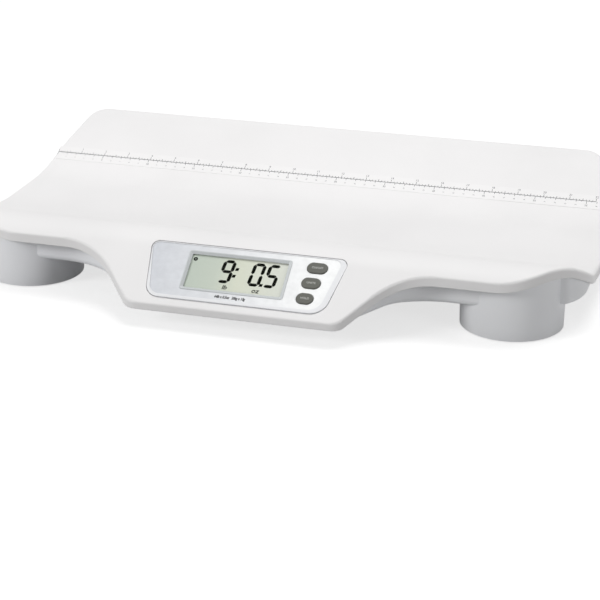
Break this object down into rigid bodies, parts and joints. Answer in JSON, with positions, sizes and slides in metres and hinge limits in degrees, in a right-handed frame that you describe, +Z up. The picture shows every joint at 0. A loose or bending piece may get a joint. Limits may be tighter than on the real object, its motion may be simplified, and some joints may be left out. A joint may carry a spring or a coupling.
{
  "type": "baby weighing scale",
  "caption": "Digital baby scale: long curved tray with a turned-down rim on a housing with round feet, sloping panel with display and push buttons.",
  "frame": {"origin": "on the floor, under the middle of the tray's outline", "axes": "+X along the tray to the operator's right, +Y from the control panel to the high back wall, +Z up"},
  "size_m": [0.592, 0.3558, 0.0857],
  "materials": {
    "tray_white": "satin injection-moulded ABS",
    "housing_grey": "fine-grained moulded ABS",
    "strip_film": "printed self-adhesive film",
    "panel_silver": "silver-painted ABS",
    "panel_film": "printed polycarbonate film",
    "bezel_grey": "satin grey ABS",
    "clear_window": "clear acrylic",
    "display_glass": "reflective liquid-crystal display",
    "inner_plastic": "plain moulded ABS",
    "elastic_contact": "layered silicone",
    "circuit_board": "green solder mask",
    "board_black": "moulded epoxy",
    "screw_steel": "zinc-plated steel",
    "button_dark": "dark grey moulded caps",
    "contact_metal": "nickel-plated spring steel",
    "cell_jacket": "printed jacket",
    "cell_steel": "bright spring steel",
    "foot_grey": "plain moulded ABS",
    "foot_rubber": "soft grey rubber"
  },
  "bodies": {
    "scale": {"tray_shell": "tray_white", "base_housing": "housing_grey", "ruler_strip": "strip_film", "control_plate": "panel_silver", "panel_overlay": "panel_film", "lcd_bezel": "bezel_grey", "display_window": "clear_window", "lcd_glass": "display_glass", "lcd_holder": "inner_plastic", "zebra_strips": "elastic_contact", "main_board": "circuit_board", "board_parts": "board_black", "board_screws": "screw_steel", "key_switches": "board_black", "battery_box": "housing_grey", "battery_contacts": "contact_metal", "cell_screws": "screw_steel", "tray_screws": "screw_steel", "aa_cell_1": "cell_jacket", "aa_cell_2": "cell_jacket", "aa_cell_3": "cell_jacket", "aa_cell_4": "cell_jacket", "cell_carrier_front_left": "inner_plastic", "load_cell_front_left": "cell_steel", "foot_cap_front_left": "foot_grey", "rubber_foot_front_left": "foot_rubber", "cell_carrier_front_right": "inner_plastic", "load_cell_front_right": "cell_steel", "foot_cap_front_right": "foot_grey", "rubber_foot_front_right": "foot_rubber", "cell_carrier_rear_left": "inner_plastic", "load_cell_rear_left": "cell_steel", "foot_cap_rear_left": "foot_grey", "rubber_foot_rear_left": "foot_rubber", "cell_carrier_rear_right": "inner_plastic", "load_cell_rear_right": "cell_steel", "foot_cap_rear_right": "foot_grey", "rubber_foot_rear_right": "foot_rubber"},
    "button_on": {"button_on": "button_dark"},
    "button_unit": {"button_unit": "button_dark"},
    "button_hold": {"button_hold": "button_dark"},
    "battery_door": {"battery_door": "housing_grey"}
  },
  "joints": [
    {"name": "button_on_press", "type": "slide", "parent": "scale", "child": "button_on", "axis": [0, 0.5821, -0.8131], "range_m": [0, 0.0005], "stiffness_N_per_m": 400},
    {"name": "button_unit_press", "type": "slide", "parent": "scale", "child": "button_unit", "axis": [0, 0.5821, -0.8131], "range_m": [0, 0.0005], "stiffness_N_per_m": 400},
    {"name": "button_hold_press", "type": "slide", "parent": "scale", "child": "button_hold", "axis": [0, 0.5821, -0.8131], "range_m": [0, 0.0005], "stiffness_N_per_m": 400},
    {"name": "battery_door_hinge", "type": "hinge", "parent": "scale", "child": "battery_door", "pos_m": [0, -0.1076, 0.0286], "axis": [-1, 0, 0], "range_deg": [0, 40]}
  ]
}
